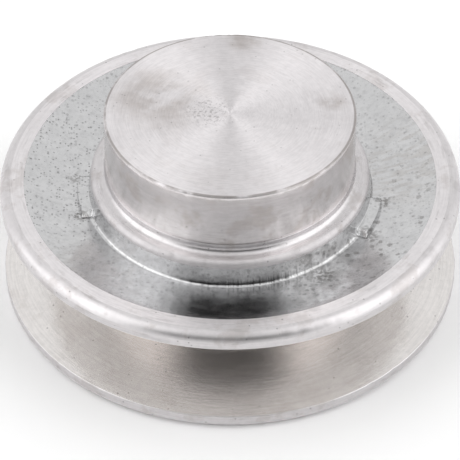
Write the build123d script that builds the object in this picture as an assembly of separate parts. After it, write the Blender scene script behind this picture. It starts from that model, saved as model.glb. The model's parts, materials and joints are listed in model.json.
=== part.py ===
from build123d import *
import os
from math import cos, radians, sin, tan

os.makedirs("parts", exist_ok=True)

# A closed-front V belt idler pulley, in millimetres. Z = 0 is the belt's mid-plane, the origin is on the
# pulley's axis, and +Z points at the closed hub face. The machine's axle enters from -Z.

# Rims and belt groove
RIM_R = 31.5  # outside of both rims
RIM_HALF = 8.58  # belt plane to either turned rim face
RIM_FACE_R = 31.09  # where a rim's face and its sloping shoulder would meet
RIM_SHOULDER_Z = 7.45  # the shoulder ends here in a crisp line, and the rim's plain outside begins
RIM_EDGE_RADIUS = 1.5  # rounding between the face and the shoulder
LIP_RADIUS = 0.12  # broken edge where the groove meets a rim's outside
GROOVE_TOP_HALF = 6.3  # half the groove's width at the rims, for a 13 mm wide belt
GROOVE_ANGLE = 34.0  # between the two flanks
GROOVE_DEPTH = 11.45
GROOVE_CORNER_RADIUS = 0.8

# As-cast web between each rim and the hub
FACE_INNER_R = 28.2  # inner edge of the turned rim face
CAST_STEP = 0.1  # the cast web starts this far below the turned face
WEB_MID_R, WEB_MID_Z = 23.8, 6.73  # the web dishes down towards the hub, steepest at the rim
FOOT_R, FOOT_Z = 19.5, 6.1  # where the web meets the hub
DISH_RADIUS = 24.0
FOOT_RADIUS = 0.5

# Collar, its turned ledge, and the neck that the cap stands on
COLLAR_R, COLLAR_Z = 18.96, 9.74  # outer edge of the ledge
COLLAR_EDGE_RADIUS = 0.9
LEDGE_Z = 9.98  # inner edge of the ledge, which falls slightly outwards
NECK_FILLET = 0.9

# Casting pads at the foot of the hub: centre and half width, degrees round from -Y towards +X
PAD_ANGLES = ((-84.5, 10.5), (72.0, 10.0))
PAD_IN_R, PAD_OUT_R = 18.8, 20.9
PAD_Z = 6.95
PAD_EDGE_RADIUS = 0.2

# Hub cap, a turned cup pushed over the sheave's spigot, flush with the neck below it
CAP_R, CAP_TOP_Z = 17.0, 19.65
CAP_INSIDE_Z = 16.6
CAP_SEAT_Z = 11.2
SEAM_RADIUS = 0.12  # broken edges of the cap and of the neck, where they meet
CAP_EDGE_RADIUS = 0.25
CAP_LEAD_IN = 0.4
CENTRE_MARK_R, CENTRE_MARK_DEPTH = 0.35, 0.15
SPIGOT_R, SPIGOT_TOP_Z = 15.4, 15.0

# Rear hub boss and the seat that holds both bearings
BOSS_R, BOSS_Z = 19.0, -8.2
BOSS_EDGE_RADIUS = 0.4
SHOULDER_R = 12.6  # lip in front of the front bearing
MOUTH_CHAMFER = 0.5

# Ball bearings: two of 12 x 28 x 8, with rubber seals
BEARING_BORE_R, BEARING_R, BEARING_WIDTH = 6.0, 14.0, 8.0
PITCH_R = 10.0  # ball centres
BALL_R, BALL_COUNT = 2.381, 8
BALL_CLEARANCE = 0.05  # ball to race and ball to cage
INNER_LAND_R, OUTER_LAND_R = 8.5, 11.5
RING_CHAMFER = 0.3
CAGE_IN_R, CAGE_OUT_R = 9.1, 10.9
CAGE_SHEET = 0.35
RIVET_R, RIVET_HEAD_R, RIVET_HEAD = 0.4, 0.7, 0.3
SEAL_IN_R, SEAL_OUT_R = 8.6, 12.2
SEAL_IN_Z, SEAL_THICK = 2.95, 0.8

# Stack along the axis: snap ring, rear bearing, spacers, front bearing, shoulder
REAR_BEARING_Z = -1.35  # mid-plane
SPACER_LENGTH = 2.55
INNER_SPACER_R, OUTER_SPACER_IN_R = 8.0, 12.4
SNAP_RING_THICK = 1.2
SNAP_GROOVE_R = 14.7
SNAP_GROOVE_PLAY = 0.05
SNAP_RING_IN_R, SNAP_RING_OFFSET = 12.75, 0.45  # eccentric, so it is thin at its two lugs
SNAP_GAP_DEG = 44.0
LUG_R, LUG_CENTRE_R, LUG_HOLE_R = 1.9, 12.7, 0.95

FRONT_BEARING_Z = REAR_BEARING_Z + BEARING_WIDTH + SPACER_LENGTH
SHOULDER_Z = FRONT_BEARING_Z + BEARING_WIDTH / 2
STACK_REAR_Z = REAR_BEARING_Z - BEARING_WIDTH / 2
SPACER_Z = REAR_BEARING_Z + BEARING_WIDTH / 2
GROOVE_BOTTOM_R = RIM_R - GROOVE_DEPTH
GROOVE_BOTTOM_HALF = GROOVE_TOP_HALF - GROOVE_DEPTH * tan(radians(GROOVE_ANGLE / 2))


def turned(corners):
    """A body of revolution about Z from (radius, z, corner radius) points, in order round its section."""
    points = [(r, z) for r, z, _ in corners]
    outline = FilletPolyline(*points, radius=[c for _, _, c in corners], close=True)
    return revolve(Plane.XZ * make_face(outline), Axis.Z)


def tube(inner_r, outer_r, low_z, high_z):
    """A plain ring about Z."""
    return turned([(inner_r, low_z, 0), (outer_r, low_z, 0), (outer_r, high_z, 0), (inner_r, high_z, 0)])


def round_the_axis(shape, count, start_deg=0.0):
    """Equally spaced copies of a shape about Z."""
    return [Rot(0, 0, start_deg + i * 360.0 / count) * shape for i in range(count)]


def sheave_section():
    """The casting's section: bearing seat, spigot, collar, front web and rim, groove, rear rim and web."""
    snap_low_z = STACK_REAR_Z - SNAP_RING_THICK - SNAP_GROOVE_PLAY
    seat = [
        (BEARING_R + MOUTH_CHAMFER, BOSS_Z, 0),
        (BEARING_R, BOSS_Z + MOUTH_CHAMFER, 0),
        (BEARING_R, snap_low_z, 0),
        (SNAP_GROOVE_R, snap_low_z, 0),
        (SNAP_GROOVE_R, STACK_REAR_Z, 0),
        (BEARING_R, STACK_REAR_Z, 0),
        (BEARING_R, SHOULDER_Z, 0),
        (SHOULDER_R, SHOULDER_Z, 0),
        (SHOULDER_R, SPIGOT_TOP_Z, 0),
    ]
    hub = [
        (SPIGOT_R - CAP_LEAD_IN, SPIGOT_TOP_Z, 0),
        (SPIGOT_R, SPIGOT_TOP_Z - CAP_LEAD_IN, 0),
        (SPIGOT_R, CAP_SEAT_Z, 0),
        (CAP_R, CAP_SEAT_Z, SEAM_RADIUS),
        (CAP_R, LEDGE_Z, NECK_FILLET),
        (COLLAR_R, COLLAR_Z, COLLAR_EDGE_RADIUS),
    ]
    front_web = [
        (FOOT_R, FOOT_Z, FOOT_RADIUS),
        (WEB_MID_R, WEB_MID_Z, DISH_RADIUS),
        (FACE_INNER_R, RIM_HALF - CAST_STEP, 0),
        (FACE_INNER_R, RIM_HALF, 0),
    ]
    front_rim = [
        (RIM_FACE_R, RIM_HALF, RIM_EDGE_RADIUS),
        (RIM_R, RIM_SHOULDER_Z, 0),
        (RIM_R, GROOVE_TOP_HALF, LIP_RADIUS),
        (GROOVE_BOTTOM_R, GROOVE_BOTTOM_HALF, GROOVE_CORNER_RADIUS),
    ]
    rear_rim = [(r, -z, c) for r, z, c in reversed(front_rim)]
    rear_web = [(r, -z, c) for r, z, c in reversed(front_web)]
    boss = [(BOSS_R, BOSS_Z, BOSS_EDGE_RADIUS)]
    return seat + hub + front_web + front_rim + rear_rim + rear_web + boss


def casting_pad(angle_deg, half_deg):
    """One raised pad on the web against the foot of the hub, an arc of a low ring."""
    section = Plane.XZ * Pos((PAD_IN_R + PAD_OUT_R) / 2, FOOT_Z) * Rectangle(
        PAD_OUT_R - PAD_IN_R, 2 * (PAD_Z - FOOT_Z)
    )
    pad = revolve(section, Axis.Z, revolution_arc=2 * half_deg)
    top = pad.faces().sort_by(Axis.Z)[-1]
    pad = fillet(top.edges(), PAD_EDGE_RADIUS)
    return Rot(0, 0, angle_deg - half_deg - 90.0) * pad


def sheave():
    """The cast and turned pulley body, one piece with its groove, webs and hub."""
    body = turned(sheave_section())
    for angle_deg, half_deg in PAD_ANGLES:
        body += casting_pad(angle_deg, half_deg)
    return body


def hub_cap():
    """The closed turned cup over the spigot, with the lathe's centre mark in its face."""
    return turned(
        [
            (0, CAP_INSIDE_Z, 0),
            (SPIGOT_R, CAP_INSIDE_Z, 0),
            (SPIGOT_R, CAP_SEAT_Z + CAP_LEAD_IN, 0),
            (SPIGOT_R + CAP_LEAD_IN, CAP_SEAT_Z, 0),
            (CAP_R, CAP_SEAT_Z, SEAM_RADIUS),
            (CAP_R, CAP_TOP_Z, CAP_EDGE_RADIUS),
            (CENTRE_MARK_R, CAP_TOP_Z, 0),
            (0, CAP_TOP_Z - CENTRE_MARK_DEPTH, 0),
        ]
    )


def snap_ring():
    """The inside snap ring in the seat's groove, sprung outwards, with two holed lugs for pliers."""
    low_z = STACK_REAR_Z - SNAP_RING_THICK
    outer_r = SNAP_GROOVE_R - SNAP_GROOVE_PLAY
    ring = Pos(0, 0, low_z) * extrude(Circle(outer_r), SNAP_RING_THICK)
    ring -= Pos(SNAP_RING_OFFSET, 0, low_z) * extrude(Circle(SNAP_RING_IN_R), SNAP_RING_THICK)
    gap_x = 2 * outer_r * cos(radians(SNAP_GAP_DEG / 2))
    gap_y = 2 * outer_r * sin(radians(SNAP_GAP_DEG / 2))
    gap = make_face(Polyline((0, 0), (gap_x, -gap_y), (gap_x, gap_y), close=True))
    ring -= Pos(0, 0, low_z) * extrude(gap, SNAP_RING_THICK)
    for side in (-1, 1):
        place = Rot(0, 0, side * SNAP_GAP_DEG / 2) * Pos(LUG_CENTRE_R, 0, low_z)
        ring += place * extrude(Circle(LUG_R), SNAP_RING_THICK)
        ring -= place * extrude(Circle(LUG_HOLE_R), SNAP_RING_THICK)
    return ring


def race():
    """The torus that the balls run round, with their clearance."""
    return revolve(Plane.XZ * Pos(PITCH_R, 0) * Circle(BALL_R + BALL_CLEARANCE), Axis.Z)


def inner_ring():
    half = BEARING_WIDTH / 2
    ring = turned(
        [
            (BEARING_BORE_R, -half + RING_CHAMFER, 0),
            (BEARING_BORE_R + RING_CHAMFER, -half, 0),
            (INNER_LAND_R, -half, 0),
            (INNER_LAND_R, half, 0),
            (BEARING_BORE_R + RING_CHAMFER, half, 0),
            (BEARING_BORE_R, half - RING_CHAMFER, 0),
        ]
    )
    return ring - race()


def outer_ring():
    """The outer ring, with a step at each side that a seal snaps into."""
    half = BEARING_WIDTH / 2
    ring = turned(
        [
            (OUTER_LAND_R, -SEAL_IN_Z, 0),
            (SEAL_OUT_R, -SEAL_IN_Z, 0),
            (SEAL_OUT_R, -half, 0),
            (BEARING_R - RING_CHAMFER, -half, 0),
            (BEARING_R, -half + RING_CHAMFER, 0),
            (BEARING_R, half - RING_CHAMFER, 0),
            (BEARING_R - RING_CHAMFER, half, 0),
            (SEAL_OUT_R, half, 0),
            (SEAL_OUT_R, SEAL_IN_Z, 0),
            (OUTER_LAND_R, SEAL_IN_Z, 0),
        ]
    )
    return ring - race()


def balls():
    """All the balls of one bearing, each its own solid."""
    return Compound(round_the_axis(Pos(PITCH_R, 0, 0) * Sphere(BALL_R), BALL_COUNT))


def cage_half():
    """The pressed-sheet half of the ball cage on the +Z side of the balls: flats joined by cupped pockets."""
    pocket_r = BALL_R + BALL_CLEARANCE
    half_space = tube(CAGE_IN_R, CAGE_OUT_R, 0, pocket_r + CAGE_SHEET)
    cage = tube(CAGE_IN_R, CAGE_OUT_R, 0, CAGE_SHEET)
    for cup in round_the_axis(Pos(PITCH_R, 0, 0) * Sphere(pocket_r + CAGE_SHEET), BALL_COUNT):
        cage += cup & half_space
    for space in round_the_axis(Pos(PITCH_R, 0, 0) * Sphere(pocket_r), BALL_COUNT):
        cage -= space
    hole = Pos(PITCH_R, 0, CAGE_SHEET / 2) * Cylinder(RIVET_R, 2 * CAGE_SHEET)
    for bore in round_the_axis(hole, BALL_COUNT, 180.0 / BALL_COUNT):
        cage -= bore
    return cage


def rivets():
    """The rivets that hold the two cage halves together, one between each pair of balls."""
    shank = Pos(PITCH_R, 0, 0) * Cylinder(RIVET_R, 2 * CAGE_SHEET)
    head = Cylinder(RIVET_HEAD_R, RIVET_HEAD)
    head = chamfer(head.faces().sort_by(Axis.Z)[-1].edges(), RIVET_HEAD / 2)
    top = Pos(PITCH_R, 0, CAGE_SHEET + RIVET_HEAD / 2) * head
    rivet = shank + top + mirror(top, Plane.XY)
    return Compound(round_the_axis(rivet, BALL_COUNT, 180.0 / BALL_COUNT))


def seal():
    """The rubber seal on the +Z side of a bearing, held by the outer ring and clear of the inner ring."""
    step = SEAL_THICK / 4
    mid_r = (SEAL_IN_R + SEAL_OUT_R) / 2
    high_z = SEAL_IN_Z + SEAL_THICK
    return turned(
        [
            (SEAL_IN_R, SEAL_IN_Z, 0),
            (SEAL_OUT_R, SEAL_IN_Z, 0),
            (SEAL_OUT_R, high_z, 0),
            (SEAL_OUT_R - step, high_z, 0),
            (mid_r + 2 * step, high_z - step, 0),
            (SEAL_IN_R + 2 * step, high_z - step, 0),
            (SEAL_IN_R + step, high_z, 0),
            (SEAL_IN_R, high_z, 0),
        ]
    )


def bearing(name, mid_z):
    """Every piece of one sealed deep-groove ball bearing, by node name."""
    front_cage, front_seal = cage_half(), seal()
    pieces = {
        "inner_ring": inner_ring(),
        "outer_ring": outer_ring(),
        "balls": balls(),
        "cage_front": front_cage,
        "cage_rear": mirror(front_cage, Plane.XY),
        "cage_rivets": rivets(),
        "seal_front": front_seal,
        "seal_rear": mirror(front_seal, Plane.XY),
    }
    return {f"{name}_bearing_{piece}": Pos(0, 0, mid_z) * shape for piece, shape in pieces.items()}


nodes = {
    "sheave": sheave(),
    "hub_cap": hub_cap(),
    "snap_ring": snap_ring(),
    "inner_spacer": tube(BEARING_BORE_R, INNER_SPACER_R, SPACER_Z, SPACER_Z + SPACER_LENGTH),
    "outer_spacer": tube(OUTER_SPACER_IN_R, BEARING_R, SPACER_Z, SPACER_Z + SPACER_LENGTH),
    **bearing("rear", REAR_BEARING_Z),
    **bearing("front", FRONT_BEARING_Z),
}

for node, shape in nodes.items():
    export_step(shape, f"parts/{node}.step")
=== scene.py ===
import json
import math
import random

import bmesh
import bpy
import numpy as np
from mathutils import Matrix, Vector, noise


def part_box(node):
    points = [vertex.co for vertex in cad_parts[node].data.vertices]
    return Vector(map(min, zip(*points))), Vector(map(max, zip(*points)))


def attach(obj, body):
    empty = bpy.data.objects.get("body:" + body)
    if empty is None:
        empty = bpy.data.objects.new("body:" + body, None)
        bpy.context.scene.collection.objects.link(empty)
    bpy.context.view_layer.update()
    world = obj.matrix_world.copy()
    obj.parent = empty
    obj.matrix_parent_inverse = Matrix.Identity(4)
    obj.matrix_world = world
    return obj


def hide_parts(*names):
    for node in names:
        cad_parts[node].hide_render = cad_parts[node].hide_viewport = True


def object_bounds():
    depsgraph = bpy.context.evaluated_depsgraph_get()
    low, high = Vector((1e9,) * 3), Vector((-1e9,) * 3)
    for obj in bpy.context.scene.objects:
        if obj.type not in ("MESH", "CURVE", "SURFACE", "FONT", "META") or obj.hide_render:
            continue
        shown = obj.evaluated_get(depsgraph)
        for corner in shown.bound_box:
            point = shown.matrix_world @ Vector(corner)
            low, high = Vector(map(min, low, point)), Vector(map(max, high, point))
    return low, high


# A V belt idler pulley lying on its rear rim, looked at from the front and above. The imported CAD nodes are
# the frame. The sheave and the hub cap are rebuilt as fine lathe-turned meshes on the same sections, with
# their casting pads, dents and cast waviness. Sections and details are in millimetres, meshes in metres.

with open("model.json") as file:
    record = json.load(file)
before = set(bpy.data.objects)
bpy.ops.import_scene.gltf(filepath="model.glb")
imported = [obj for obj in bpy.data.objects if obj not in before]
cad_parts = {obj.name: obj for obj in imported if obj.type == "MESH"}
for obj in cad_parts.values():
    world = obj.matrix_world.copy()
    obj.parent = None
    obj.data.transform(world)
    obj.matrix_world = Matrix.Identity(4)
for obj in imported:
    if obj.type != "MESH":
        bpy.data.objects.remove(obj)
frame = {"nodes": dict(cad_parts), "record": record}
cad_low, cad_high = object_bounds()

MM = 0.001
SHEAVE_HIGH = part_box("sheave")[1] / MM
CAP_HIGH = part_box("hub_cap")[1] / MM

# Driving sizes of the two lathe sections: radii from the axis, and heights from the groove's middle
RIM_R = SHEAVE_HIGH.x
RIM_HALF = -cad_low.z / MM
RIM_FACE_R, RIM_SHOULDER_Z, RIM_ROUNDING = 31.09, 7.45, 1.5
RIM_LINE_ROUNDING = 0.05  # at the crisp line where the shoulder meets the rim's plain outside
LIP_ROUNDING = 0.12  # where the groove meets a rim's outside
FACE_INNER_R, FACE_EDGE_ROUNDING = 28.2, 0.04
CAST_STEP = 0.1  # from the turned rim face down to the cast web
GROOVE_TOP_HALF, GROOVE_DEPTH, GROOVE_ROUNDING = 6.3, 11.45, 0.8
GROOVE_ANGLE = math.radians(34)  # between the two flanks
GROOVE_BOTTOM_R = RIM_R - GROOVE_DEPTH
GROOVE_BOTTOM_HALF = GROOVE_TOP_HALF - GROOVE_DEPTH * math.tan(GROOVE_ANGLE / 2)
WEB_MID_R, WEB_MID_Z, DISH_RADIUS = 23.8, 6.73, 24.0
FOOT_R, FOOT_Z, FOOT_ROUNDING = 19.5, 6.1, 0.5
COLLAR_R, COLLAR_Z, COLLAR_ROUNDING = 18.96, 9.74, 0.9
COLLAR_CAST_R, COLLAR_CAST_Z = COLLAR_R + 0.13, COLLAR_Z - 0.88  # below here the collar is as cast
LEDGE_Z, NECK_FILLET = 9.98, 0.9
SEAM_ROUNDING = 0.12  # of both edges at the cap's seam
CAP_R, CAP_TOP_Z = CAP_HIGH.x, CAP_HIGH.z
CAP_SEAT_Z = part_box("hub_cap")[0].z / MM
CAP_INSIDE_Z, CAP_EDGE_ROUNDING, CAP_LEAD_IN = 16.6, 0.25, 0.4
DIMPLE_R, DIMPLE_DEPTH, DIMPLE_ROUNDING = 0.35, 0.15, 0.05  # in the middle of the cap's face
SPIGOT_R, SPIGOT_TOP_Z = 15.4, SHEAVE_HIGH.z
SEAT_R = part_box("rear_bearing_outer_ring")[1].x / MM
MOUTH_CHAMFER = 0.5
SHOULDER_R, SHOULDER_Z = 12.6, 13.2
BOSS_R, BOSS_Z, BOSS_ROUNDING = 19.0, -8.2, 0.4
SNAP_GROOVE_R, SNAP_GROOVE_LOW, SNAP_GROOVE_HIGH = 14.7, -6.6, -5.35
PAD_ANGLES = ((-84.5, 10.5), (72.0, 10.0))  # centre and half width, degrees from -Y towards +X
PAD_OUT_R, PAD_Z = 20.9, 6.95
PAD_EDGE_HALF = 0.06  # half the run over which a pad's outer edge drops to the web

# How fine the lathe meshes are: segments round the axis, and steps along each zone of a section
SEGMENTS = 480
STEPS = {"cast": 0.44, "foot": 0.2, "face": 0.9, "land": 0.8, "groove": 1.8, "ledge": 0.5, "hidden": 4.0,
         "side": 0.35, "top": 0.4}
ARC_STEP, WIDE_ARC_STEP, WIDE_ARC_RADIUS = 0.19, 0.38, 5.0
LEAST_ARC_STEPS = 4
WELD = 1e-4  # points nearer to each other than this become one

# Cast skin: the height and size of each of its waves, and the torn metal in the fillet at the hub's foot
SKIN_WAVES = ((0.030, 3.2), (0.012, 0.9))
SKIN_FADE = 1.5  # the waves die out over this much before the turned rim face
COLLAR_SIDE_R, SIDE_SHARE = 20.2, 0.8  # inside this radius the skin waves outwards too, by this share
TEAR_R, TEAR_REACH, TEAR_HEIGHT, TEAR_SIZE, TEAR_FLATNESS = 19.95, 0.55, 0.05, 0.7, 0.4
TEAR_START, TEAR_GROWTH, LEAST_TEAR = -50, 70, 0.08  # it grows over these degrees, from a least share to all
CAST_ZONES = ("cast", "foot")

# Knocks round each edge: how many, the edge's radius and height, and the ranges of their size and depth
SHEAVE_KNOCKS = (
    (16, RIM_R - 0.3, RIM_HALF - 0.3, (0.5, 1.3), (0.03, 0.08)),
    (14, FACE_INNER_R, RIM_HALF, (0.4, 0.9), (0.02, 0.05)),
    (12, RIM_R, GROOVE_TOP_HALF, (0.5, 1.0), (0.02, 0.06)),
    (14, RIM_R, -GROOVE_TOP_HALF, (0.5, 1.2), (0.03, 0.08)),
    (10, COLLAR_R, COLLAR_Z, (0.4, 0.9), (0.02, 0.06)),
)
CAP_KNOCKS = ((34, CAP_R - 0.1, CAP_TOP_Z - 0.1, (0.3, 0.8), (0.02, 0.06)),)
KNOCK_TILT = 0.7  # how far a knock pushes along the axis, against how far it pushes in
SEED = 7

# How patterns are drawn: the range that noise mostly stays in, the shape of specks, and a patch's full middle
NOISE_RANGE = (0.3, 0.7)
SPECK_CELLS, SPECK_GRAIN, SPECK_RAGGEDNESS, SPECK_EDGE = 0.45, 1.6, 0.45, (0.66, 0.46)
PATCH_CORE = 0.25

# Spots, as (centre, reach): where the cap's face is nicked, where it is darker, and the marks on the cast web
CAP_NICKED = (((-2.8, 0.3, CAP_TOP_Z), 4.4),)
CAP_DARKER_SPOTS = (((-9.5, 3.0, CAP_TOP_Z), 8.5), ((13.8, 2.5, CAP_TOP_Z), 2.6), ((2, 15.5, CAP_TOP_Z), 3.5))
DOTTED = ((-25, 2, 7), 19)
SMUDGED = ((21, -11, 7), 17)
SPLASHED = ((13, -18, 7), 10)
SOOTY = ((14, -19, 7), 11)
BROWN, PALE_BROWN = ((24, 4, 8), 12), ((-18, -17, 8), 9)
LASHED = ((4.5, -19.3, 7), 10)
LASH_HEIGHTS, LASH_RADII = (7.5, 6.7), (FOOT_R + 0.3, FOOT_R + 0.1)  # from their ends to full strength
GRUBBY = ((12.4, -17.7, 6.5), 2.6)
# Where the painted shadow at the pads' ends sits: its radius, and how far it reaches
PAD_END_R, PAD_END_REACH = 21.3, 1.7

# Colours: faint tints of the turned metal, and what stains multiply in
PINK, WARM, ROSY = (1.035, 1.0, 1.012), (1.035, 1.0, 0.98), (1.043, 1.0, 0.998)
OXIDE = (0.79, 0.765, 0.74, 1)
RELEASE_AGENT = (0.82, 0.79, 0.76, 1)
SMUDGE = (0.56, 0.55, 0.54, 1)
CAST_LIGHT, CAST_DARK = (0.612, 0.612, 0.617, 1), (0.556, 0.556, 0.562, 1)
QUARTER_TURN = 0.25  # turns the highlights so that they spread across the feed lines
BROAD_PITCHES = 9  # feed lines to one broad band


# ---------------------------------------------------------------- sections


def web_z(radius):
    """Height of the inner, straight run of the web."""
    return FOOT_Z + (radius - FOOT_R) * (WEB_MID_Z - FOOT_Z) / (WEB_MID_R - FOOT_R)


# Corners of the sheave's closed section in order: radius, height, rounding, and the zone that follows
HUB_INSIDE = [
    (SEAT_R + MOUTH_CHAMFER, BOSS_Z, 0, "hidden"),
    (SEAT_R, BOSS_Z + MOUTH_CHAMFER, 0, "hidden"),
    (SEAT_R, SNAP_GROOVE_LOW, 0, "hidden"),
    (SNAP_GROOVE_R, SNAP_GROOVE_LOW, 0, "hidden"),
    (SNAP_GROOVE_R, SNAP_GROOVE_HIGH, 0, "hidden"),
    (SEAT_R, SNAP_GROOVE_HIGH, 0, "hidden"),
    (SEAT_R, SHOULDER_Z, 0, "hidden"),
    (SHOULDER_R, SHOULDER_Z, 0, "hidden"),
    (SHOULDER_R, SPIGOT_TOP_Z, 0, "hidden"),
    (SPIGOT_R, SPIGOT_TOP_Z, 0, "hidden"),
    (SPIGOT_R, CAP_SEAT_Z, 0, "hidden"),
]
LEDGE = [
    (CAP_R, CAP_SEAT_Z, SEAM_ROUNDING, "ledge"),
    (CAP_R, LEDGE_Z, NECK_FILLET, "ledge"),
    (COLLAR_R, COLLAR_Z, COLLAR_ROUNDING, "ledge"),
    (COLLAR_CAST_R, COLLAR_CAST_Z, 0, "cast"),
]
FRONT_WEB = [
    (FOOT_R, FOOT_Z, FOOT_ROUNDING, "foot"),
    (PAD_OUT_R - PAD_EDGE_HALF, web_z(PAD_OUT_R - PAD_EDGE_HALF), 0, "foot"),
    (PAD_OUT_R + PAD_EDGE_HALF, web_z(PAD_OUT_R + PAD_EDGE_HALF), 0, "foot"),
    (WEB_MID_R, WEB_MID_Z, DISH_RADIUS, "cast"),
    (FACE_INNER_R, RIM_HALF - CAST_STEP, 0, "face"),
    (FACE_INNER_R, RIM_HALF, FACE_EDGE_ROUNDING, "face"),
]
FRONT_RIM = [
    (RIM_FACE_R, RIM_HALF, RIM_ROUNDING, "land"),
    (RIM_R, RIM_SHOULDER_Z, RIM_LINE_ROUNDING, "land"),
    (RIM_R, GROOVE_TOP_HALF, LIP_ROUNDING, "groove"),
    (GROOVE_BOTTOM_R, GROOVE_BOTTOM_HALF, GROOVE_ROUNDING, "groove"),
]
REAR_RIM = [
    (GROOVE_BOTTOM_R, -GROOVE_BOTTOM_HALF, GROOVE_ROUNDING, "groove"),
    (RIM_R, -GROOVE_TOP_HALF, LIP_ROUNDING, "land"),
    (RIM_R, -RIM_SHOULDER_Z, RIM_LINE_ROUNDING, "land"),
    (RIM_FACE_R, -RIM_HALF, RIM_ROUNDING, "face"),
    (FACE_INNER_R, -RIM_HALF, FACE_EDGE_ROUNDING, "face"),
    (FACE_INNER_R, -RIM_HALF + CAST_STEP, 0, "cast"),
]
REAR_WEB = [
    (WEB_MID_R, -WEB_MID_Z, DISH_RADIUS, "cast"),
    (FOOT_R, -FOOT_Z, FOOT_ROUNDING, "cast"),
    (BOSS_R, BOSS_Z, BOSS_ROUNDING, "ledge"),
]
SHEAVE = HUB_INSIDE + LEDGE + FRONT_WEB + FRONT_RIM + REAR_RIM + REAR_WEB

# The cap's section, from the axis and back to it
CAP = [
    (0, CAP_INSIDE_Z, 0, "hidden"),
    (SPIGOT_R, CAP_INSIDE_Z, 0, "hidden"),
    (SPIGOT_R, CAP_SEAT_Z + CAP_LEAD_IN, 0, "hidden"),
    (SPIGOT_R + CAP_LEAD_IN, CAP_SEAT_Z, 0, "hidden"),
    (CAP_R, CAP_SEAT_Z, SEAM_ROUNDING, "side"),
    (CAP_R, CAP_TOP_Z, CAP_EDGE_ROUNDING, "top"),
    (DIMPLE_R, CAP_TOP_Z, DIMPLE_ROUNDING, "top"),
    (0, CAP_TOP_Z - DIMPLE_DEPTH, 0, "top"),
]


def unit(vector):
    """A vector made one long."""
    return vector / np.linalg.norm(vector)


def arc_points(before, corner, after, radius):
    """Points of the rounding at one corner of a section, from its start to its end."""
    to_before, to_after = unit(before - corner), unit(after - corner)
    half = math.acos(np.clip(to_before @ to_after, -1, 1)) / 2
    reach = radius / math.tan(half)
    centre = corner + unit(to_before + to_after) * radius / math.sin(half)
    start, end = corner + to_before * reach - centre, corner + to_after * reach - centre
    turn = math.pi - 2 * half
    step = ARC_STEP if radius < WIDE_ARC_RADIUS else WIDE_ARC_STEP
    count = max(LEAST_ARC_STEPS, math.ceil(radius * turn / step))
    sign = 1 if start[0] * end[1] - start[1] * end[0] > 0 else -1
    angles = np.linspace(0, sign * turn, count + 1)
    turned = np.stack([start[0] * np.cos(angles) - start[1] * np.sin(angles),
                       start[0] * np.sin(angles) + start[1] * np.cos(angles)], -1)
    return list(centre + turned)


def section(corners, closed=True):
    """Walks a section's corners. Returns its points, the zone after each, and which points are sharp."""
    places = [np.array(corner[:2], float) for corner in corners]
    points, zones, sharp = [], [], []
    for i, (_, _, radius, zone) in enumerate(corners):
        here, after = places[i], places[(i + 1) % len(places)]
        arc = arc_points(places[i - 1], here, after, radius) if radius else [here]
        points += arc
        zones += [zone] * len(arc)
        sharp += [not radius] * len(arc)
        if not closed and i == len(corners) - 1:
            break
        next_radius = corners[(i + 1) % len(corners)][2]
        end = after
        if next_radius:
            end = arc_points(here, after, places[(i + 2) % len(places)], next_radius)[0]
        count = max(1, math.ceil(np.linalg.norm(end - arc[-1]) / STEPS[zone]))
        inner = [arc[-1] + (end - arc[-1]) * k / count for k in range(1, count)]
        points += inner
        zones += [zone] * len(inner)
        sharp += [False] * len(inner)
    return np.array(points), zones, np.array(sharp)


# ---------------------------------------------------------------- lathe meshes


def grid_faces(rows, runs):
    """Quads between the section's neighbouring points and the neighbouring angles, all the way round."""
    i, j = np.meshgrid(np.arange(SEGMENTS), np.arange(runs), indexing="ij")
    i_next, j_next = (i + 1) % SEGMENTS, (j + 1) % rows
    corners = [i * rows + j, i_next * rows + j, i_next * rows + j_next, i * rows + j_next]
    return np.stack(corners, -1).reshape(-1, 4)


def mark_sharp(mesh, sharp):
    """Marks the rings of edges at the section's sharp points."""
    ends = np.empty(len(mesh.edges) * 2, int)
    mesh.edges.foreach_get("vertices", ends)
    ends = ends.reshape(-1, 2) % len(sharp)
    crease = mesh.attributes.new("sharp_edge", "BOOLEAN", "EDGE")
    crease.data.foreach_set("value", (ends[:, 0] == ends[:, 1]) & sharp[ends[:, 0]])


def weld(mesh):
    """Joins the points that meet on the axis, and turns all faces outwards."""
    work = bmesh.new()
    work.from_mesh(mesh)
    bmesh.ops.remove_doubles(work, verts=work.verts, dist=MM * WELD)
    bmesh.ops.recalc_face_normals(work, faces=work.faces)
    work.to_mesh(mesh)
    work.free()


def lathe(name, corners, materials, shape, closed=True):
    """Turns a section about Z into a mesh piece. materials maps a zone to a material. shape moves the mesh's
    points: it gets them as an array of (angle, place in the section, xyz), with the section and its zones."""
    points, zones, sharp = section(corners, closed)
    angles = np.arange(SEGMENTS) * 2 * math.pi / SEGMENTS
    co = np.empty((SEGMENTS, len(points), 3))
    co[..., 0] = np.outer(np.cos(angles), points[:, 0])
    co[..., 1] = np.outer(np.sin(angles), points[:, 0])
    co[..., 2] = points[:, 1]
    co = shape(co, points, zones)

    runs = len(points) if closed else len(points) - 1
    mesh = bpy.data.meshes.new(name)
    mesh.from_pydata((co.reshape(-1, 3) * MM).tolist(), [], grid_faces(len(points), runs).tolist())
    used = list(dict.fromkeys(materials.values()))
    for material in used:
        mesh.materials.append(material)
    index = [used.index(materials[zone]) for zone in zones[:runs]]
    mesh.polygons.foreach_set("material_index", np.tile(index, SEGMENTS))
    mark_sharp(mesh, sharp)
    weld(mesh)
    mesh.polygons.foreach_set("use_smooth", [True] * len(mesh.polygons))

    piece = bpy.data.objects.new(name, mesh)
    bpy.context.scene.collection.objects.link(piece)
    weighted = piece.modifiers.new("even shading", "WEIGHTED_NORMAL")
    weighted.keep_sharp = True
    return piece


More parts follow.
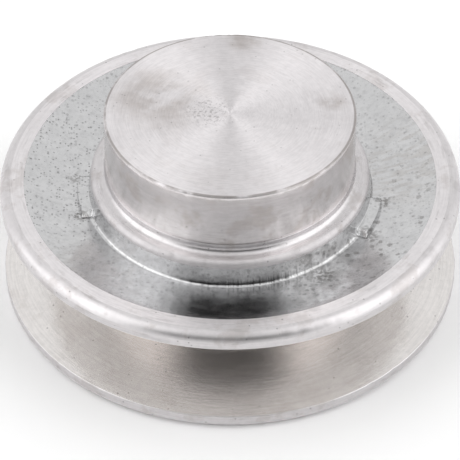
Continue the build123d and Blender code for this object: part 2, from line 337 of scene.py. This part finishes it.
def dent(co, angle_deg, radius, z, size, depth):
    """Pushes points near a place in, towards the axis and the groove's middle, as a knock does. The angle is
    from -Y towards +X."""
    a = math.radians(angle_deg - 90)
    centre = np.array([radius * math.cos(a), radius * math.sin(a), z])
    near = np.linalg.norm(co - centre, axis=-1) / size
    push = np.clip(1 - near, 0, 1) ** 2 * depth
    inward = np.array([-math.cos(a), -math.sin(a), -math.copysign(KNOCK_TILT, z)])
    return co + push[..., None] * inward


def knocks(co, edges, draw):
    """Small dents at random places round each edge."""
    for count, radius, z, sizes, depths in edges:
        for _ in range(count):
            co = dent(co, draw.uniform(0, 360), radius, z, draw.uniform(*sizes), draw.uniform(*depths))
    return co


def wave(x, y, z, size):
    """Smooth noise, from about -1 to 1, with waves of a size in mm."""
    return noise.noise(Vector((x / size, y / size, z / size)))


def raise_pads(co, points, zones, angle):
    """Lifts the two casting pads out of the web. Returns which angles they are at."""
    radius, z = points[:, 0], points[:, 1]
    on_web = np.isin(zones, CAST_ZONES) & (z > 0) & (z < PAD_Z) & (radius < PAD_OUT_R)
    padded = np.zeros(SEGMENTS, bool)
    for centre, half in PAD_ANGLES:
        padded |= np.abs((angle - centre + 180) % 360 - 180) < half
    co[..., 2] = np.where(padded[:, None] & on_web, PAD_Z, co[..., 2])
    return padded


def roughen_skin(co, points, zones, tear_share):
    """Waves on the cast skin, dying out towards the rims, and torn metal in the fillet at the hub's foot."""
    for k, zone in enumerate(zones):
        if zone not in CAST_ZONES:
            continue
        r, z = points[k]
        fade = min(1.0, max(0.0, (FACE_INNER_R - r) / SKIN_FADE))
        torn = TEAR_HEIGHT * math.exp(-(((r - TEAR_R) / TEAR_REACH) ** 2))
        for i in range(SEGMENTS):
            x, y = co[i, k, :2]
            lift = fade * sum(height * wave(x, y, z, size) for height, size in SKIN_WAVES)
            lift += torn * tear_share[i] * wave(x, y, TEAR_FLATNESS * z, TEAR_SIZE)
            co[i, k, 2] += lift if z > 0 else -lift
            if r < COLLAR_SIDE_R:
                co[i, k, :2] *= 1 + SIDE_SHARE * lift / r


def shape_sheave(co, points, zones):
    """Casting pads, rough cast skin and knocked edges."""
    angle = np.degrees(np.arctan2(co[:, 0, 1], co[:, 0, 0])) + 90  # from -Y towards +X
    padded = raise_pads(co, points, zones, angle)
    tear_share = np.where(padded, 0, np.clip((angle - TEAR_START) / TEAR_GROWTH, LEAST_TEAR, 1))
    roughen_skin(co, points, zones, tear_share)
    return knocks(co, SHEAVE_KNOCKS, random.Random(SEED))


def shape_cap(co, points, zones):
    """Knocks along the cap's top edge."""
    return knocks(co, CAP_KNOCKS, random.Random(SEED + 1))


# ---------------------------------------------------------------- node helpers


def add(tree, kind, inputs=None, **settings):
    """One shader node, with its settings and its inputs given as values or as other nodes' sockets."""
    node = tree.nodes.new("ShaderNode" + kind)
    for key, value in settings.items():
        setattr(node, key, value)
    for key, value in (inputs or {}).items():
        if isinstance(value, bpy.types.NodeSocket):
            tree.links.new(value, node.inputs[key])
        else:
            node.inputs[key].default_value = value
    return node


def maths(tree, operation, *values):
    """A Math node's result."""
    return add(tree, "Math", dict(enumerate(values)), operation=operation).outputs[0]


def times(tree, first, second):
    """Two values multiplied."""
    return maths(tree, "MULTIPLY", first, second)


def sum_of(tree, first, *others):
    """Several values added and held between 0 and 1."""
    for value in others:
        first = add(tree, "Math", {0: first, 1: value}, operation="ADD", use_clamp=True).outputs[0]
    return first


def remap(tree, value, low, high, to_low=0.0, to_high=1.0):
    """A value from one range to another, smoothly and clamped."""
    inputs = {"Value": value, "From Min": low, "From Max": high, "To Min": to_low, "To Max": to_high}
    return add(tree, "MapRange", inputs, interpolation_type="SMOOTHSTEP").outputs[0]


def spread(tree, noisy, to_low=0.0, to_high=1.0):
    """The range that noise mostly stays in, spread over another."""
    return remap(tree, noisy, *NOISE_RANGE, to_low, to_high)


def scaled(tree, vector, factor):
    """A vector made longer or shorter."""
    return add(tree, "VectorMath", {0: vector, "Scale": factor}, operation="SCALE").outputs[0]


def moved(tree, vector, offset):
    """A vector with another one added."""
    return add(tree, "VectorMath", {0: vector, 1: offset}, operation="ADD").outputs[0]


def mix_colour(tree, amount, first, second, blend="MIX"):
    """A second colour mixed into the first, or blended with it, by an amount."""
    return add(tree, "Mix", {0: amount, 6: first, 7: second}, data_type="RGBA", blend_type=blend).outputs[2]


def darken(tree, shade, marks):
    """Multiplies the colour of each kind of mark in. marks are (mask, strength, colour)."""
    for mask, strength, colour in marks:
        shade = mix_colour(tree, times(tree, mask, strength), shade, colour, blend="MULTIPLY")
    return shade


def grey(level, warmth=0.0):
    """A grey, made slightly warm or, with a negative warmth, slightly cool."""
    return (level * (1 + warmth), level, level * (1 - warmth), 1)


def tinted(level, tint):
    """A grey with a tint."""
    return (*(level * part for part in tint), 1)


# ---------------------------------------------------------------- patterns


def polar(tree):
    """Where a point is about the axis: its place in mm, its angle as a unit vector, its radius and height."""
    place = scaled(tree, add(tree, "TexCoord").outputs["Object"], 1 / MM)
    flat = add(tree, "VectorMath", {0: place, 1: (1, 1, 0)}, operation="MULTIPLY").outputs[0]
    radius = add(tree, "VectorMath", {0: flat}, operation="LENGTH").outputs["Value"]
    angle = add(tree, "VectorMath", {0: flat}, operation="NORMALIZE").outputs[0]
    height = add(tree, "SeparateXYZ", {0: place}).outputs[2]
    return place, angle, radius, height


def blotches(tree, place, scale, detail=3.0, roughness=0.55, shift=0.0):
    """Cloudy noise, scale in features per mm."""
    inputs = {"Vector": moved(tree, place, (shift, shift, shift)), "Scale": scale, "Detail": detail,
              "Roughness": roughness}
    return add(tree, "TexNoise", inputs).outputs["Fac"]


def swept(tree, angle, around, across, detail):
    """Noise that changes round the axis at one rate, and with a value across the sweep."""
    lift = add(tree, "CombineXYZ", {2: across}).outputs[0]
    vector = moved(tree, scaled(tree, angle, around), lift)
    return add(tree, "TexNoise", {"Vector": vector, "Scale": 1.0, "Detail": detail}).outputs["Fac"]


def rings(tree, angle, radius, height, pitch, around=6.0, detail=2.0):
    """Noise drawn out round the axis, as a lathe tool leaves it: pitch in mm across, long along the cut."""
    across = maths(tree, "DIVIDE", maths(tree, "ADD", radius, height), pitch)
    return swept(tree, angle, around, across, detail)


def specks(tree, place, size, share, shift=0.0):
    """1 on small scattered spots about size mm across, 0 elsewhere. share is how many cells hold one."""
    vector = moved(tree, place, (shift, 2 * shift, shift))
    cells = add(tree, "TexVoronoi", {"Vector": vector, "Scale": SPECK_CELLS / size, "Randomness": 1.0})
    draw = add(tree, "SeparateColor", {0: cells.outputs["Color"]}).outputs[0]
    chosen = maths(tree, "LESS_THAN", draw, share)
    ragged = times(tree, blotches(tree, place, SPECK_GRAIN / size, shift=shift), SPECK_RAGGEDNESS)
    spot = remap(tree, maths(tree, "ADD", cells.outputs["Distance"], ragged), *SPECK_EDGE)
    return times(tree, spot, chosen)


def patch(tree, place, centre, reach):
    """1 near a place, fading to 0 at reach mm from it."""
    away = add(tree, "VectorMath", {0: place, 1: centre}, operation="DISTANCE").outputs["Value"]
    return remap(tree, away, reach, PATCH_CORE * reach)


def patches(tree, place, spots):
    """The patches at several (centre, reach) spots, added up."""
    return sum_of(tree, 0.0, *(patch(tree, place, centre, reach) for centre, reach in spots))


# ---------------------------------------------------------------- turned aluminium


def metal(name):
    """A new material with a metallic Principled shader. Returns the material, its tree and that shader."""
    material = bpy.data.materials.new(name)
    material.use_nodes = True
    tree = material.node_tree
    shader = tree.nodes["Principled BSDF"]
    shader.inputs["Metallic"].default_value = 1.0
    return material, tree, shader


def bump(tree, shader, height, strength, depth):
    """Gives a shader relief, its depth in mm."""
    inputs = {"Height": height, "Strength": strength, "Distance": depth * MM}
    tree.links.new(add(tree, "Bump", inputs).outputs[0], shader.inputs["Normal"])


def stains(tree, place, cloud, stain, spots):
    """Jagged stains everywhere by one amount, and heavier jagged darkening at the spots."""
    stained = remap(tree, cloud, 0.53, 0.62, 0.0, stain)
    for centre, reach in spots:
        heavy = remap(tree, cloud, 0.34, 0.58, 0.0, 0.8)
        stained = sum_of(tree, stained, times(tree, patch(tree, place, centre, reach), heavy))
    return stained


def nicks(tree, place, spots):
    """Small dark nicks, and scratched ground at the spots where they crowd together."""
    nick = specks(tree, place, size=0.16, share=0.014)
    if not spots:
        return nick
    scratches = blotches(tree, place, scale=2.2, detail=6.0, roughness=0.8, shift=5.0)
    scratched = times(tree, remap(tree, scratches, 0.53, 0.60), patches(tree, place, spots))
    return sum_of(tree, times(tree, nick, 0.6), scratched)


def edge_dark_line(tree, radius, cloud, edges):
    """A fine, broken darker line along the edges at some radii."""
    darker_line = 0.0
    for edge in edges:
        off = maths(tree, "ABSOLUTE", maths(tree, "SUBTRACT", radius, edge))
        darker_line = sum_of(tree, darker_line, remap(tree, off, 0.26, 0.08))
    return times(tree, darker_line, remap(tree, cloud, 0.32, 0.52))


def turned_metal(name, colour, roughness, pitch, anisotropy, stain, smear=0.3, grain=0.0, marks=(),
                 darker_at=(), dark_line_at=(), worn_at=()):
    """Lathe-turned aluminium: feed lines round the axis, jagged stains, drawn-out smears, small dark nicks,
    painted shade in wedges.
    grain is how much fine grit its relief has. marks are (centre, reach) spots where nicks crowd together,
    and darker_at those where the colour is darker in jagged patches; dark_line_at are the radii of edges that
    get a fine, broken darker line, and worn_at those of edges worn dull."""
    material, tree, shader = metal(name)
    place, angle, radius, height = polar(tree)
    fine = rings(tree, angle, radius, height, pitch)
    broad = rings(tree, angle, radius, height, BROAD_PITCHES * pitch, around=2.2)
    streaks = rings(tree, angle, radius, height, pitch=0.55, around=9.0, detail=4.0)
    # painted shade: the colour darkens in wedges round the axis, standing in for the wedge-shaped reflections
    # of turned metal
    wedge_shade = blotches(tree, angle, scale=1.7, detail=2.0, roughness=0.5)
    cloud = blotches(tree, place, scale=0.20, detail=6.0, roughness=0.66)
    mottle = blotches(tree, place, scale=1.3, detail=4.0, roughness=0.6, shift=13.0)
    grit = blotches(tree, place, scale=4.0, detail=4.0, roughness=0.6, shift=21.0)
    stained = stains(tree, place, cloud, stain, darker_at)
    nick = nicks(tree, place, marks)

    shade = mix_colour(tree, spread(tree, mottle), colour, tinted(0.94, colour[:3]))
    shade = darken(tree, shade, (
        (spread(tree, fine), 0.5, grey(0.84)),
        # painted shade in wedges round the axis
        (remap(tree, wedge_shade, 0.35, 0.65), 0.5, grey(0.90)),
        (stained, 1.0, OXIDE),
        (remap(tree, streaks, 0.56, 0.68), smear, grey(0.66, 0.01)),
        (nick, 0.7, grey(0.42, 0.01)),
        (edge_dark_line(tree, radius, cloud, dark_line_at), 1.0, grey(0.52, 0.03)),
    ))
    tree.links.new(shade, shader.inputs["Base Color"])

    dull = spread(tree, broad, roughness * 0.93, roughness * 1.07)
    dull = sum_of(tree, dull, times(tree, stained, 0.08))
    for edge in worn_at:
        dull = sum_of(tree, dull, remap(tree, radius, edge - 0.7, edge - 0.25, 0.0, 0.24))
    tree.links.new(dull, shader.inputs["Roughness"])
    shader.inputs["Anisotropic"].default_value = anisotropy
    shader.inputs["Anisotropic Rotation"].default_value = QUARTER_TURN
    tangent = add(tree, "Tangent", direction_type="RADIAL", axis="Z")
    tree.links.new(tangent.outputs[0], shader.inputs["Tangent"])
    relief = maths(tree, "SUBTRACT", maths(tree, "ADD", fine, broad), times(tree, nick, 1.5))
    bump(tree, shader, maths(tree, "MULTIPLY_ADD", grit, grain, relief), strength=0.22, depth=0.02)
    return material


# ---------------------------------------------------------------- cast aluminium


def pad_shadow_and_grime(tree, place, mottle):
    """Painted shadow at both ends of each casting pad, where it steps up from the web, and dirt at one place
    on the foot.
    """
    spots = [GRUBBY]
    for centre, half in PAD_ANGLES:
        for end in (math.radians(centre - half), math.radians(centre + half)):
            spots.append(((PAD_END_R * math.sin(end), -PAD_END_R * math.cos(end), PAD_Z), PAD_END_REACH))
    return times(tree, patches(tree, place, spots), remap(tree, mottle, 0.44, 0.56))


def release_streaks(tree, place, flow):
    """Streaks of release agent, on both sides."""
    where = sum_of(tree, times(tree, patch(tree, place, *PALE_BROWN), 0.5), patch(tree, place, *BROWN))
    return times(tree, where, remap(tree, flow, 0.42, 0.62))


def foot_lashes(tree, place, angle, radius, height):
    """Short dark teeth up from the fillet at the hub's foot."""
    low_side = times(tree, remap(tree, radius, *LASH_RADII), remap(tree, height, *LASH_HEIGHTS))
    teeth = remap(tree, swept(tree, angle, around=80.0, across=0.0, detail=3.0), 0.48, 0.60)
    return times(tree, times(tree, teeth, patch(tree, place, *LASHED)), low_side)


def cast_metal(name):
    """Die-cast skin: cool, smooth and mottled, with fine dark dots on one side, larger smudges on the other,
    and brownish streaks of release agent drawn out from the axis."""
    material, tree, shader = metal(name)
    place, angle, radius, height = polar(tree)
    cloud = blotches(tree, place, scale=0.30, detail=5.0, roughness=0.6)
    mottle = blotches(tree, place, scale=1.5, detail=5.0, roughness=0.62, shift=17.0)
    skin = blotches(tree, place, scale=1.1, detail=4.0, roughness=0.6, shift=4.0)
    flow = swept(tree, angle, around=34.0, across=times(tree, radius, 0.35), detail=4.0)
    dotted = sum_of(tree, patch(tree, place, *DOTTED), 0.35)
    dots = times(tree, specks(tree, place, size=0.17, share=0.25, shift=9.0), dotted)
    smudged = sum_of(tree, patch(tree, place, *SMUDGED), 0.2)
    smudges = times(tree, specks(tree, place, size=0.50, share=0.34), smudged)
    drops = times(tree, specks(tree, place, size=0.36, share=0.5, shift=43.0), patch(tree, place, *SPLASHED))
    soot = times(tree, patch(tree, place, *SOOTY), remap(tree, cloud, 0.36, 0.6))
    brown = release_streaks(tree, place, flow)

    shade = mix_colour(tree, spread(tree, cloud), CAST_LIGHT, CAST_DARK)
    shade = darken(tree, shade, (
        (remap(tree, mottle, 0.45, 0.68), 0.8, grey(0.86)),
        (brown, 0.6, RELEASE_AGENT),
        (foot_lashes(tree, place, angle, radius, height), 0.8, grey(0.4)),
        (soot, 1.0, grey(0.72, 0.01)),
        # painted shadow at the pads' ends, and dirt at one place on the foot
        (pad_shadow_and_grime(tree, place, mottle), 1.0, grey(0.5, 0.02)),
        (smudges, 0.75, SMUDGE),
        (specks(tree, place, size=0.30, share=0.24, shift=31.0), 0.48, grey(0.55)),
        (drops, 0.7, grey(0.5)),
        (dots, 0.8, grey(0.36)),
    ))
    tree.links.new(shade, shader.inputs["Base Color"])
    dull = spread(tree, cloud, 0.13, 0.20)
    dull = sum_of(tree, dull, times(tree, smudges, 0.15), times(tree, brown, 0.08))
    tree.links.new(dull, shader.inputs["Roughness"])
    relief = maths(tree, "SUBTRACT", maths(tree, "ADD", skin, times(tree, flow, 0.1)), dots)
    bump(tree, shader, relief, strength=0.25, depth=0.03)
    return material


# ---------------------------------------------------------------- steel, rubber and the floor


def steel(name, level, roughness, pitch=0.15):
    """Ground or pressed steel with faint lines round the axis."""
    material, tree, shader = metal(name)
    place, angle, radius, height = polar(tree)
    fine = rings(tree, angle, radius, height, pitch)
    cloud = blotches(tree, place, scale=0.5)
    shade = mix_colour(tree, spread(tree, cloud), grey(level, -0.01), grey(level * 0.85, 0.01))
    tree.links.new(shade, shader.inputs["Base Color"])
    tree.links.new(spread(tree, fine, roughness * 0.8, roughness * 1.25), shader.inputs["Roughness"])
    bump(tree, shader, fine, strength=0.25, depth=0.01)
    return material


def rubber(name):
    """Matt moulded nitrile rubber."""
    material, tree, shader = metal(name)
    shader.inputs["Metallic"].default_value = 0.0
    place = polar(tree)[0]
    grain = blotches(tree, place, scale=6.0)
    shade = mix_colour(tree, spread(tree, blotches(tree, place, scale=0.6)), grey(0.022), grey(0.034, 0.02))
    tree.links.new(shade, shader.inputs["Base Color"])
    tree.links.new(spread(tree, grain, 0.55, 0.7), shader.inputs["Roughness"])
    bump(tree, shader, grain, strength=0.3, depth=0.02)
    return material


def floor_material():
    """Matt white, with hardly any shine."""
    material, tree, shader = metal("pale_floor")
    shader.inputs["Metallic"].default_value = 0.0
    place = add(tree, "TexCoord").outputs["Object"]
    cloud = add(tree, "TexNoise", {"Vector": place, "Scale": 3.0, "Detail": 2.0}).outputs["Fac"]
    tree.links.new(remap(tree, cloud, 0.2, 0.8, 0.75, 0.85), shader.inputs["Roughness"])
    shader.inputs["Base Color"].default_value = grey(0.95)
    shader.inputs["Specular IOR Level"].default_value = 0.1
    return material


# ---------------------------------------------------------------- the pieces

rim_turned = turned_metal("turned_rim", tinted(0.80, PINK), roughness=0.40, pitch=0.24, anisotropy=0.85,
                          stain=0.45, smear=0.4, grain=0.5)
lip_turned = turned_metal("turned_lip", tinted(0.68, PINK), roughness=0.35, pitch=0.20, anisotropy=0.6,
                          stain=0.5, smear=0.35, grain=0.8)
groove_turned = turned_metal("turned_groove", tinted(0.76, WARM), roughness=0.18, pitch=0.16, anisotropy=0.2,
                             stain=0.25, smear=0.05, grain=2.2)
ledge_turned = turned_metal("turned_ledge", tinted(0.64, PINK), roughness=0.28, pitch=0.20, anisotropy=0.3,
                            stain=0.6, grain=2.0, worn_at=(COLLAR_R,))
cap_side = turned_metal("turned_hub_side", tinted(0.80, ROSY), roughness=0.19, pitch=0.20, anisotropy=0.6,
                        stain=0.8, smear=0.12, grain=0.8)
cap_face = turned_metal("turned_hub_face", tinted(0.82, PINK), roughness=0.44, pitch=0.17, anisotropy=0.9,
                        stain=0.16, smear=0.12, grain=0.3, marks=CAP_NICKED, darker_at=CAP_DARKER_SPOTS,
                        dark_line_at=(CAP_R - 0.18,))
cast_skin = cast_metal("cast_skin")

sheave_zones = {"cast": cast_skin, "foot": cast_skin, "face": rim_turned, "land": lip_turned,
                "ledge": ledge_turned, "groove": groove_turned, "hidden": rim_turned}
sheave = lathe("sheave_body", SHEAVE, sheave_zones, shape_sheave)
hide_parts("sheave")
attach(sheave, "pulley")

cap_zones = {"hidden": cap_side, "side": cap_side, "top": cap_face}
cap = lathe("hub_cap_shell", CAP, cap_zones, shape_cap, closed=False)
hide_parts("hub_cap")
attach(cap, "pulley")

finishes = {
    "bearing_steel": steel("ground_steel", 0.56, 0.22),
    "ball_steel": steel("ball_steel", 0.66, 0.10),
    "pressed_steel": steel("pressed_steel", 0.48, 0.32),
    "spring_steel": steel("spring_steel", 0.07, 0.42),
    "spacer_steel": steel("spacer_steel", 0.5, 0.3),
    "seal_rubber": rubber("seal_rubber"),
}
for row in frame["record"]["subparts"]:
    if row["material_slot"] in finishes:
        node = frame["nodes"][row["node"]]
        node.data.materials.clear()
        node.data.materials.append(finishes[row["material_slot"]])


# ---------------------------------------------------------------- stage, light and camera

FLOOR_HALF = 2.0  # metres
FLOOR_GAP = 0.02  # keeps the floor just clear of the rear rim


def floor_piece():
    """A wide floor under the rear rim."""
    z = cad_low.z - FLOOR_GAP * MM
    corners = [(x * FLOOR_HALF, y * FLOOR_HALF, z) for x, y in ((-1, -1), (1, -1), (1, 1), (-1, 1))]
    mesh = bpy.data.meshes.new("floor")
    mesh.from_pydata(corners, [], [(0, 1, 2, 3)])
    mesh.materials.append(floor_material())
    piece = bpy.data.objects.new("floor", mesh)
    bpy.context.scene.collection.objects.link(piece)
    return piece


floor = floor_piece()

# The camera stands off a pivot on the axis just below the front rim's face, and points a little below it
PIVOT_DROP = 0.69
CAMERA_ELEVATION, CAMERA_DIP = math.radians(41.52), math.radians(1.066)
CAMERA_DISTANCE = 12 * RIM_R
LENS, SENSOR = 215.9, 36.0
NEAREST, FARTHEST = 0.01, 20  # metres


def set_camera():
    """A long lens in front of the pulley and above it."""
    lens = bpy.data.cameras.new("camera")
    lens.lens, lens.sensor_width = LENS, SENSOR
    lens.clip_start, lens.clip_end = NEAREST, FARTHEST
    camera = bpy.data.objects.new("camera", lens)
    bpy.context.scene.collection.objects.link(camera)
    pivot = Vector((0, 0, RIM_HALF - PIVOT_DROP))
    back = Vector((0, -math.cos(CAMERA_ELEVATION), math.sin(CAMERA_ELEVATION)))
    camera.location = (pivot + back * CAMERA_DISTANCE) * MM
    dipped = CAMERA_ELEVATION + CAMERA_DIP
    aim = Vector((0, math.cos(dipped), -math.sin(dipped)))
    camera.rotation_euler = aim.to_track_quat("-Z", "Y").to_euler()
    bpy.context.scene.camera = camera
    bpy.context.scene.view_settings.view_transform = "Standard"


set_camera()

# The light tent, as the spans over which each part of it fades in: degrees aside from straight in front of
# the pulley, degrees up from level, and the seam's distance from the middle
OPENING_ASIDE, OPENING_LOW, OPENING_HIGH = (56, 20), (-2, 16), (60, 25)
BOX_FRONT, BOX_BACK, BOX_HIGH = (38, 60), (125, 92), (88, 58)
SEAM_WIDTH, SEAM_LOW = (0.35, 0.08), (50, 75)
BOX_GAIN, SEAM_GAIN, OPENING_LEVEL = 0.85, -0.08, 0.01


def light_tent():
    """A white tent all round: a soft light at either side, a dimmer seam overhead between them, and a dark
    opening in front, where the lens looks in."""
    world = bpy.data.worlds.new("light_tent")
    bpy.context.scene.world = world
    world.use_nodes = True
    tree = world.node_tree
    x, y, z = add(tree, "SeparateXYZ", {0: add(tree, "TexCoord").outputs["Generated"]}).outputs
    off_middle = maths(tree, "ABSOLUTE", x)
    aside = maths(tree, "DEGREES", maths(tree, "ARCTAN2", off_middle, times(tree, y, -1)))
    up = maths(tree, "DEGREES", maths(tree, "ARCSINE", z))
    opening = times(tree, remap(tree, aside, *OPENING_ASIDE), remap(tree, up, *OPENING_LOW))
    opening = times(tree, opening, remap(tree, up, *OPENING_HIGH))
    box = times(tree, remap(tree, aside, *BOX_FRONT), remap(tree, aside, *BOX_BACK))
    box = times(tree, box, remap(tree, up, *BOX_HIGH))
    seam = times(tree, remap(tree, off_middle, *SEAM_WIDTH), remap(tree, up, *SEAM_LOW))
    level = maths(tree, "MULTIPLY_ADD", box, BOX_GAIN, 1.0)
    level = maths(tree, "MULTIPLY_ADD", seam, SEAM_GAIN, level)
    level = times(tree, level, remap(tree, opening, 0, 1, 1.0, OPENING_LEVEL))
    tree.nodes["Background"].inputs["Color"].default_value = (1, 1, 1, 1)
    tree.links.new(level, tree.nodes["Background"].inputs["Strength"])


light_tent()
